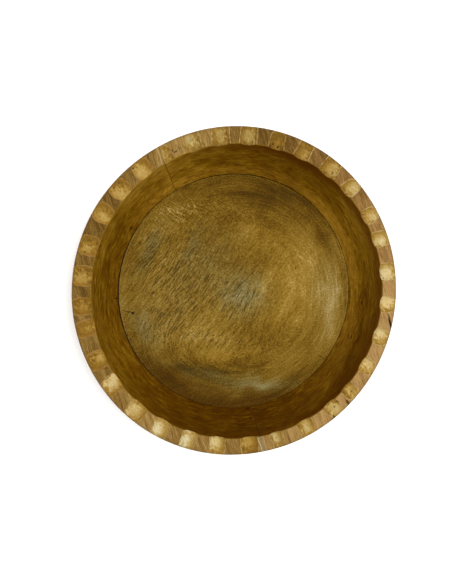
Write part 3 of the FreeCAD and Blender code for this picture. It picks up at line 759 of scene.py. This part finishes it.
def ring_wood(name, turn, seed):
    g = Graph(name)
    off = (seed * 31.0, seed * 17.0, seed * 5.0)
    co = g.bent(5.0, 30.0)
    fibre = g.noise(g.frame(turn, 9.0, 0.55, 2.2, off, co), 1.0, 3.0, 0.62)
    streak = g.noise(g.frame(turn, 34.0, 2.6, 7.0, off, co), 1.0, 3.0, 0.55)
    broad = g.noise(g.frame(turn, 60.0, 13.0, 24.0, off, co), 1.0, 2.0, 0.5)
    speck = g.noise(g.frame(turn, 1.5, 0.8, 0.9, off), 1.0, 2.0, 0.6)
    mottle = g.noise(g.frame(turn, 3.6, 2.2, 2.5, off, co), 1.0, 3.0, 0.6, 0.6)
    curl = g.noise(g.frame(turn + 40, 4.4, 3.0, 2.5, (9, 2, 6), co), 1.0, 2.0, 0.5)
    pores = g.step(g.noise(g.frame(turn, 4.8, 0.75, 1.0, off, co), 1.0, 1.5, 0.5), 0.61, 0.68)
    lines = g.step(g.noise(g.frame(turn, 30.0, 0.9, 3.0, (3, 9, 2), co), 1.0, 2.0, 0.5), 0.60, 0.72)

    # lands
    v = g.add(g.attr("tone"), g.mul(g.sub(streak, 0.5), 1.3))
    v = g.add(v, g.mul(g.sub(fibre, 0.5), 1.6))
    v = g.add(v, g.mul(g.sub(speck, 0.5), 0.65))
    v = g.add(v, g.mul(g.sub(broad, 0.5), 0.5))
    plain = g.ramp(v, [(0.0, tint(92, 64, 20)), (0.28, tint(123, 93, 38)), (0.6, tint(152, 121, 59)), (1.0, tint(182, 150, 88))])
    pink = g.ramp(v, [(0.0, tint(98, 66, 26)), (0.28, tint(130, 95, 47)), (0.6, tint(158, 119, 68)), (1.0, tint(186, 147, 93))])
    land = g.mix(g.attr("warm"), plain, pink)
    land = g.mix(g.mul(lines, 0.60), land, tint(88, 58, 24))
    land = g.mix(g.mul(pores, 0.40), land, tint(70, 46, 14))

    # scoops: a creamy middle in a ring of ochre, with a pale worn edge
    cut = g.attr("cut")
    along = g.attr("along")
    across = g.add(g.add(g.attr("across"), g.attr("lean1")), g.mul(g.sub(mottle, 0.5), 1.9))
    length = g.mul(g.add(g.add(g.sub(along, 0.42), g.attr("lean2")), g.mul(g.sub(curl, 0.5), 1.3)), 1.65)
    away = g.m("SQRT", g.add(g.mul(across, across), g.mul(length, length)))
    core = g.step(g.sub(g.add(away, g.mul(g.sub(speck, 0.5), 0.8)), g.attr("size")), 0.80, 0.05)
    w = g.add(g.add(g.mul(g.attr("pale"), 0.50), 0.04), g.mul(core, g.add(g.add(g.mul(g.attr("pale"), 0.30), 0.17), g.mul(g.attr("swing"), 1.7))))
    w = g.sub(w, g.mul(g.attr("swing"), 0.7))
    w = g.sub(w, g.mul(g.step(away, 0.75, 1.15), 0.12))
    w = g.add(w, g.mul(g.sub(mottle, 0.5), g.attr("mottled")))
    w = g.add(w, g.mul(g.sub(fibre, 0.5), 0.55))
    w = g.add(w, g.mul(g.sub(speck, 0.5), 0.60))
    scoop = g.ramp(w, [(0.0, tint(118, 86, 30)), (0.25, tint(155, 115, 40)), (0.5, tint(182, 145, 69)), (0.75, tint(204, 169, 96)), (1.0, tint(228, 199, 132))])
    chalk = g.ramp(w, [(0.0, tint(128, 100, 52)), (0.25, tint(156, 132, 76)), (0.5, tint(180, 160, 100)), (0.75, tint(202, 186, 132)), (1.0, tint(226, 215, 172))])
    scoop = g.mix(g.mul(g.attr("cream"), g.add(0.25, g.mul(core, 0.65))), scoop, chalk)
    pits = g.step(g.noise(g.frame(turn, 1.3, 1.0, 1.0, (8, 1, 4)), 1.0, 2.0, 0.55), 0.66, 0.74)
    scoop = g.mix(g.mul(pits, 0.5), scoop, tint(92, 62, 20))
    border = g.mul(g.step(g.sub(g.add(cut, g.mul(g.sub(mottle, 0.5), 3.4)), g.mul(g.attr("swing"), 7.0)), 1.25, 0.1), 0.72)
    scoop = g.mix(border, scoop, tint(158, 112, 40))
    inside = g.step(g.add(cut, g.mul(g.sub(speck, 0.5), 0.10)), -0.04, 0.08)
    top = g.mix(inside, land, scoop)
    # thin worn arris between land and scoop
    line = g.mul(g.step(g.m("ABSOLUTE", g.sub(cut, 0.16)), 0.58, 0.20), g.step(curl, 0.38, 0.50))
    top = g.mix(g.mul(g.mul(line, 0.75), g.attr("worn")), top, tint(210, 184, 122))
    shade = g.mul(g.step(g.m("ABSOLUTE", g.add(cut, 0.42)), 0.38, 0.05), g.step(mottle, 0.42, 0.58))
    top = g.mix(g.mul(shade, 0.40), top, tint(96, 66, 24))
    edge_dark = g.step(g.attr("outer"), 0.15, 0.8)
    top = g.mix(g.mul(edge_dark, 0.40), top, tint(104, 74, 30))
    for angle, radius, turned, long, wide_, strength in RIM_MARKS:
        x, y = radius * math.cos(rad(angle)), radius * math.sin(rad(angle))
        top = g.mix(g.mul(g.spot(x, y, 75, long, wide_, 6, turned), strength), top, tint(34, 20, 5))

    # inner wall: turning marks and fibres run round it
    tall = g.attr("tall")
    arc, up = g.attr("arc"), g.attr("up")
    sway = g.add(up, g.mul(g.sub(g.noise(g.frame(0, 34, 34, 18), 1.0, 2.0, 0.5), 0.5), 16.0))
    fine = g.noise(g.xyz(g.mul(arc, 1 / 9.0), g.mul(sway, 1 / 1.5), seed * 3.0), 1.0, 3.0, 0.62)
    band = g.noise(g.xyz(g.mul(arc, 1 / 42.0), g.mul(sway, 1 / 6.5), seed * 2.0), 1.0, 3.0, 0.58)
    thread = g.noise(g.xyz(g.mul(arc, 1 / 19.0), g.mul(sway, 1 / 3.3), seed * 7.0), 1.0, 2.0, 0.6)
    prick = g.step(g.noise(g.xyz(g.mul(arc, 1 / 4.0), g.mul(sway, 1 / 1.1), 4.0), 1.0, 1.0, 0.5), 0.62, 0.70)
    u = g.add(g.attr("walltone"), g.mul(g.sub(band, 0.5), 0.70))
    u = g.add(u, g.mul(g.sub(thread, 0.5), 1.0))
    # painted light: the upper wall is made lighter where it faces the light
    u = g.add(u, g.mul(g.step(tall, 0.40, 0.80), g.attr("lit_upper_wall")))
    u = g.add(u, g.mul(g.sub(fine, 0.5), 1.35))
    u = g.add(u, g.mul(g.sub(broad, 0.5), 0.55))
    u = g.add(u, g.mul(g.sub(speck, 0.5), 0.70))
    # painted light: the wall just above the floor is lighter where it is lit, a little darker elsewhere
    u = g.add(u, g.mul(g.step(tall, 0.30, 0.04), g.sub(g.mul(g.attr("lit_strip"), 0.20), 0.06)))
    W = 0.52
    wall = g.ramp(u, [(0.0, tint(64, 36, 1, W)), (0.3, tint(84, 52, 1, W)), (0.55, tint(104, 73, 6, W)), (0.8, tint(126, 93, 16, W)), (1.0, tint(150, 115, 36, W))])
    wall = g.mix(g.mul(prick, 0.50), wall, tint(48, 24, 1, W))
    ragged = g.add(tall, g.mul(g.sub(band, 0.5), 0.22))
    # painted shadow: a dark band on the wall just under the rim, where the rim shades it
    shadow_band = g.mul(g.step(ragged, 0.60, 0.88), g.step(tall, 0.985, 0.95))
    wall = g.mix(g.mul(shadow_band, g.attr("upper_wall_shadow")), wall, tint(70, 27, 0, W))
    # painted shadow: the wall above a slanting line, which drops towards the floor on the lower right, is darkened as
    # the rim's cast shadow
    upper_part = g.add(g.mul(g.sub(band, 0.5), 0.14), g.sub(tall, g.attr("shadow_line")))
    wall = g.mix(g.mul(g.step(upper_part, -0.02, 0.05), g.attr("rim_cast_shadow")), wall, tint(56, 24, 0, W))
    # painted light: the lit strip of lower wall under the rim's shadow line, in golden colours
    near_floor = g.sub(g.add(tall, g.mul(g.sub(band, 0.5), 0.14)), g.attr("shadow_line"))
    lit_strip = g.mul(g.mul(g.step(near_floor, 0.0, -0.06), g.step(ragged, -0.02, 0.06)), g.attr("lit_strip"))
    wall = g.mix(g.mul(lit_strip, 0.62), wall, g.ramp(fine, [(0.3, tint(112, 76, 10, W)), (0.7, tint(152, 114, 36, W))]))
    blot = g.step(g.noise(g.frame(turn, 18.0, 9.0, 7.0, (1, 4, 2), co), 1.0, 3.0, 0.6), 0.54, 0.66)
    wall = g.mix(g.mul(blot, 0.42), wall, tint(82, 42, 1, W))
    grit = g.step(g.noise(g.frame(0, 1.1, 1.1, 1.1, (2, 2, 2)), 1.0, 2.0, 0.6), 0.62, 0.70)
    wall = g.mix(g.mul(grit, 0.30), wall, tint(50, 26, 1, W))
    lipstrip = g.step(tall, 0.955, 0.985)
    wall = g.mix(g.mul(lipstrip, 0.45), wall, tint(126, 98, 36, W))
    for angle, height, long, wide_, strength in WALL_MARKS:
        r0 = float(inner_r(height))
        a = rad(angle)
        wall = g.mix(g.mul(g.spot(r0 * math.cos(a), r0 * math.sin(a), height, 4, long, wide_, angle), strength), wall, tint(38, 14, 2, W))
    colour = g.mix(g.step(g.attr("inner"), 0.15, 0.75), top, wall)

    # outside and underside, oiled
    o = g.add(g.mul(band, 0.85), g.mul(g.sub(fine, 0.5), 1.0))
    o = g.add(o, g.mul(g.sub(broad, 0.5), 0.6))
    o = g.add(o, g.mul(g.sub(speck, 0.5), 0.3))
    shell = g.ramp(o, [(0.05, tint(70, 42, 10)), (0.35, tint(104, 70, 24)), (0.6, tint(132, 95, 40)), (0.95, tint(164, 127, 66))])
    shell = g.mix(g.mul(prick, 0.55), shell, tint(50, 30, 10))
    colour = g.mix(g.step(g.attr("outer"), 0.75, 1.0), colour, shell)

    # filler smeared out of the joint, paler edge on one side, only wide at the front
    j = g.add(g.attr("joint"), g.mul(g.sub(mottle, 0.5), 0.5))
    smear = g.mul(g.step(g.m("ABSOLUTE", g.add(j, 0.3)), 2.5, 1.9), g.attr("front"))
    upper = g.mul(g.sub(1.0, g.attr("inner")), g.step(g.attr("outer"), 0.95, 0.75))
    colour = g.mix(g.mul(g.mul(smear, upper), 0.48), colour, g.ramp(fibre, [(0.35, tint(128, 108, 72)), (0.62, tint(172, 154, 110))]))
    chip = g.mul(g.mul(g.step(g.m("ABSOLUTE", g.sub(j, 2.2)), 0.60, 0.20), g.attr("front")), upper)
    colour = g.mix(g.mul(chip, 0.7), colour, tint(206, 190, 150))
    seam = g.mul(g.step(g.m("ABSOLUTE", g.attr("joint")), 0.85, 0.45), g.attr("inner"))
    colour = g.mix(g.mul(seam, 0.15), colour, tint(70, 46, 6, W))
    streaks = g.mul(g.mul(g.step(g.m("ABSOLUTE", g.sub(g.add(g.attr("joint"), g.mul(g.sub(streak, 0.5), 4.0)), 2.4)), 0.8, 0.2), upper), g.sub(1.0, g.attr("front")))
    colour = g.mix(g.mul(streaks, 0.6), colour, tint(196, 176, 128))
    g.put(g.skin.inputs["Base Color"], colour)

    rough = g.add(g.mul(mottle, 0.16), g.mul(g.attr("inner"), -0.08))
    g.put(g.skin.inputs["Roughness"], g.add(rough, 0.50))
    g.skin.inputs["Specular IOR Level"].default_value = 0.12
    g.skin.inputs["Specular Tint"].default_value = (1.0, 0.70, 0.22, 1.0)
    around_it = g.m("MAXIMUM", g.attr("inner"), g.step(g.attr("outer"), 0.8, 1.0))
    h = g.add(g.mul(fibre, 0.55), g.mul(mottle, g.step(cut, 0.0, 0.6, 0.25, 1.0)))
    h = g.sub(h, g.mul(pores, 0.8))
    h = g.add(g.mul(h, g.sub(1.0, around_it)), g.mul(g.sub(g.mul(fine, 1.3), g.mul(prick, 0.6)), around_it))
    g.bump(h, 0.55, 0.28)
    return g.mat


def floor_wood(name):
    g = Graph(name)
    gu, gv = g.attr("gu"), g.attr("gv")
    drift = g.noise(g.frame(0, 26, 26, 26), 1.0, 2.0, 0.5)
    gv = g.add(gv, g.mul(g.sub(drift, 0.5), 4.0))
    fine = g.noise(g.xyz(g.mul(gu, 1 / 10.0), g.mul(gv, 1 / 1.6)), 1.0, 3.0, 0.68)
    streak = g.noise(g.xyz(g.mul(gu, 1 / 30.0), g.mul(gv, 1 / 3.2), 3.0), 1.0, 3.0, 0.6)
    broad = g.noise(g.xyz(g.mul(gu, 1 / 48.0), g.mul(gv, 1 / 15.0), 7.0), 1.0, 3.0, 0.6, 0.4)
    blotch = g.noise(g.frame(50, 15, 9, 9), 1.0, 4.0, 0.62, 0.6)
    speck = g.noise(g.frame(0, 1.5, 1.5, 1.5), 1.0, 3.0, 0.65)
    dash = g.noise(g.xyz(g.mul(gu, 1 / 15.0), g.mul(gv, 1 / 1.5), 1.0), 1.0, 1.0, 0.5)
    dash2 = g.noise(g.xyz(g.mul(gu, 1 / 6.5), g.mul(gv, 1 / 1.2), 8.0), 1.0, 1.0, 0.5)
    hoop = g.noise(g.xyz(g.mul(g.attr("ru"), 1 / 38.0), g.mul(g.attr("rv"), 1 / 2.2), 2.0), 1.0, 3.0, 0.6)
    wide_hoop = g.noise(g.xyz(g.mul(g.attr("ru"), 1 / 60.0), g.mul(g.attr("rv"), 1 / 8.0), 6.0), 1.0, 2.0, 0.5)
    porey = g.m("MULTIPLY", g.attr("porey"), 1.0, clamp=True)
    v = g.add(0.45, g.mul(porey, 0.025))
    low = g.sub(0.69, g.mul(porey, 0.125))
    pores = g.m("MAXIMUM", g.step(g.sub(dash, low), 0.0, 0.04), g.mul(g.step(g.sub(dash2, low), 0.01, 0.05), 0.8))
    fleck = g.step(g.noise(g.xyz(g.mul(gu, 1 / 5.0), g.mul(gv, 1 / 1.2), 5.0), 1.0, 1.0, 0.5), 0.57, 0.68)
    torn = g.m("MULTIPLY", g.attr("torn"), 1.0, clamp=True)
    curl = g.noise(g.frame(-35, 8.0, 1.25, 2, (5, 3, 0), g.bent(8.0, 12.0)), 1.0, 2.0, 0.6)

    v = g.add(v, g.mul(g.sub(streak, 0.5), g.add(0.35, g.mul(porey, 0.35))))
    v = g.add(v, g.mul(g.sub(fine, 0.5), g.add(0.60, g.mul(porey, 0.35))))
    v = g.add(v, g.mul(g.mul(g.add(g.sub(hoop, 0.5), g.mul(g.sub(wide_hoop, 0.5), 0.9)), 0.52), g.attr("rings")))
    v = g.add(v, g.mul(g.sub(broad, 0.5), 0.42))
    v = g.add(v, g.mul(g.sub(blotch, 0.5), 0.40))
    v = g.add(v, g.mul(g.sub(speck, 0.5), 1.15))
    v = g.add(v, g.mul(g.mul(g.step(curl, 0.52, 0.61), 0.42), torn))
    v = g.sub(v, g.mul(g.mul(g.step(curl, 0.46, 0.38), 0.16), torn))
    v = g.add(v, g.mul(g.attr("light"), 0.34))
    v = g.sub(v, g.mul(g.attr("dark"), 0.40))
    v = g.add(v, g.mul(g.attr("gold"), 0.10))
    F = 0.86
    base = g.ramp(v, [(0.0, tint(64, 40, 1, F)), (0.3, tint(100, 70, 6, F)), (0.52, tint(128, 97, 25, F)), (0.78, tint(154, 123, 47, F)), (1.0, tint(188, 161, 96, F))])
    golden = g.ramp(v, [(0.0, tint(76, 50, 3, F)), (0.3, tint(114, 81, 11, F)), (0.52, tint(141, 107, 30, F)), (0.78, tint(164, 131, 54, F)), (1.0, tint(194, 165, 100, F))])
    green = g.ramp(v, [(0.0, tint(60, 48, 12, F)), (0.3, tint(92, 76, 30, F)), (0.52, tint(120, 104, 54, F)), (0.78, tint(146, 132, 84, F)), (1.0, tint(176, 165, 122, F))])
    colour = g.mix(g.m("MULTIPLY", g.attr("gold"), 0.9, clamp=True), base, golden)
    veil = g.m("MULTIPLY", g.mul(g.attr("green"), g.step(blotch, 0.30, 0.56, 0.45, 1.0)), 1.0, clamp=True)
    colour = g.mix(veil, colour, green)
    brown = g.ramp(g.add(v, 0.12), [(0.0, tint(58, 33, 1, F)), (0.35, tint(80, 50, 3, F)), (0.6, tint(100, 70, 10, F)), (1.0, tint(128, 98, 34, F))])
    colour = g.mix(g.attr("red"), colour, brown)
    colour = g.mix(g.mul(pores, g.add(0.35, g.mul(porey, 0.42))), colour, tint(46, 32, 7, F))
    colour = g.mix(g.mul(fleck, g.add(0.03, g.mul(porey, 0.34))), colour, tint(178, 150, 84, F))
    for x, y, turned, long, wide_, strength in FLOOR_MARKS:
        colour = g.mix(g.mul(g.spot(x, y, 15, long, wide_, 4, turned), strength), colour, tint(28, 18, 5, F))
    edge = g.attr("edge")
    # painted highlight: a pale line where the floor's rounded edge catches the light, on the left and right
    rim = g.mul(g.mul(g.step(edge, 1.7, 0.4), g.step(speck, 0.35, 0.6)), g.attr("edge_glint"))
    colour = g.mix(g.mul(rim, 0.45), colour, tint(160, 138, 86, F))
    colour = g.mix(g.step(edge, 0.06, -0.25), colour, tint(34, 20, 5, F))
    plank = g.noise(g.frame(54, 40, 3.4, 5.0), 1.0, 3.0, 0.58)
    plank2 = g.noise(g.frame(54, 10, 0.9, 2.0), 1.0, 3.0, 0.6)
    under = g.ramp(g.add(plank, g.mul(g.sub(plank2, 0.5), 0.7)), [(0.1, tint(84, 56, 18)), (0.45, tint(124, 90, 38)), (0.9, tint(164, 130, 72))])
    colour = g.mix(g.attr("under"), colour, under)
    g.put(g.skin.inputs["Base Color"], colour)
    g.put(g.skin.inputs["Roughness"], g.add(0.50, g.mul(blotch, 0.16)))
    g.skin.inputs["Specular IOR Level"].default_value = 0.12
    g.skin.inputs["Specular Tint"].default_value = (1.0, 0.72, 0.26, 1.0)
    h = g.sub(g.add(g.mul(fine, 0.6), g.mul(streak, 0.4)), g.mul(pores, 0.9))
    h = g.add(h, g.mul(g.mul(curl, 1.6), torn))
    g.bump(h, 0.5, 0.25)
    return g.mat


def paste(name, dark, light, seed, low=None):
    g = Graph(name)
    n = g.noise(g.frame(0, 2.2, 2.2, 2.2, (seed, 0, 0)), 1.0, 4.0, 0.6)
    s = g.noise(g.frame(0, 9, 9, 14, (seed, 5, 0)), 1.0, 2.0, 0.5)
    v = g.add(g.mul(n, 0.6), g.mul(s, 0.4))
    colour = g.ramp(v, [(0.3, dark), (0.7, light)])
    if low:
        side = g.m("MAXIMUM", g.step(g.attr("inner"), 0.1, 0.7), g.step(g.attr("outer"), 0.7, 0.95))
        colour = g.mix(side, colour, g.ramp(v, [(0.3, low[0]), (0.7, low[1])]))
    g.put(g.skin.inputs["Base Color"], colour)
    g.put(g.skin.inputs["Roughness"], g.add(0.55, g.mul(n, 0.3)))
    g.skin.inputs["Specular IOR Level"].default_value = 0.15
    g.bump(n, 0.6, 0.25)
    return g.mat


for ob, mat, kind, node in (
    (large, ring_wood("ring_wood_large", 109.25, 1), "wall_wood", "wall_board_large"),
    (small, ring_wood("ring_wood_small", 109.25, 4), "wall_wood", "wall_board_small"),
    (back, paste("filler_brown", tint(112, 84, 36), tint(156, 128, 70), 2, (tint(74, 48, 3, 0.55), tint(108, 78, 14, 0.55))), "joint_filler", "board_joint_filler_back"),
    (front, paste("filler_grey", tint(118, 100, 72), tint(152, 134, 104), 7, (tint(46, 26, 2, 0.55), tint(84, 52, 6, 0.55))), "joint_filler", "board_joint_filler_front"),
    (floor_ob, floor_wood("floor_board_wood"), "floor_wood", "floor_disc"),
    (glue_ob, paste("seam_glue_dark", tint(20, 12, 4), tint(58, 38, 14), 3), "seam_glue", "floor_seam_glue"),
):
    ob.data.materials.append(mat)
    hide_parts(node)
    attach(ob, "root")

# ------------------------------------------------------------------ studio
world = bpy.data.worlds.new("studio")
scene.world = world
world.use_nodes = True
bg = world.node_tree.nodes["Background"]
bg.inputs["Color"].default_value = (1.0, 0.985, 0.96, 1.0)
bg.inputs["Strength"].default_value = 1.22

key = bpy.data.lights.new("key", "AREA")
key.shape = "DISK"
key.size = 0.40
key.energy = 11.5
key.color = (1.0, 0.985, 0.96)
key_ob = bpy.data.objects.new("key", key)
scene.collection.objects.link(key_ob)
el, az, dist = rad(76), rad(16), 1.45
key_ob.location = (dist * math.cos(el) * math.cos(az), dist * math.cos(el) * math.sin(az), dist * math.sin(el))
key_ob.rotation_euler = (0, math.pi / 2 - el, az)

table_me = bpy.data.meshes.new("table")
table_me.from_pydata([(-3, -3, -0.0006), (3, -3, -0.0006), (3, 3, -0.0006), (-3, 3, -0.0006)], [], [(0, 1, 2, 3)])
table_ob = bpy.data.objects.new("table", table_me)
scene.collection.objects.link(table_ob)
white = bpy.data.materials.new("pale_sweep")
white.use_nodes = True
wb = white.node_tree.nodes["Principled BSDF"]
wb.inputs["Base Color"].default_value = (0.93, 0.93, 0.93, 1)
wb.inputs["Roughness"].default_value = 0.9
table_me.materials.append(white)

cam = bpy.data.cameras.new("camera")
cam.lens = 38.73
cam.sensor_width = 36
cam_ob = bpy.data.objects.new("camera", cam)
scene.collection.objects.link(cam_ob)
cam_ob.location = (-0.0074, -0.0014, 0.660)
scene.camera = cam_ob

scene.view_settings.view_transform = "Standard"
scene.view_settings.look = "None"
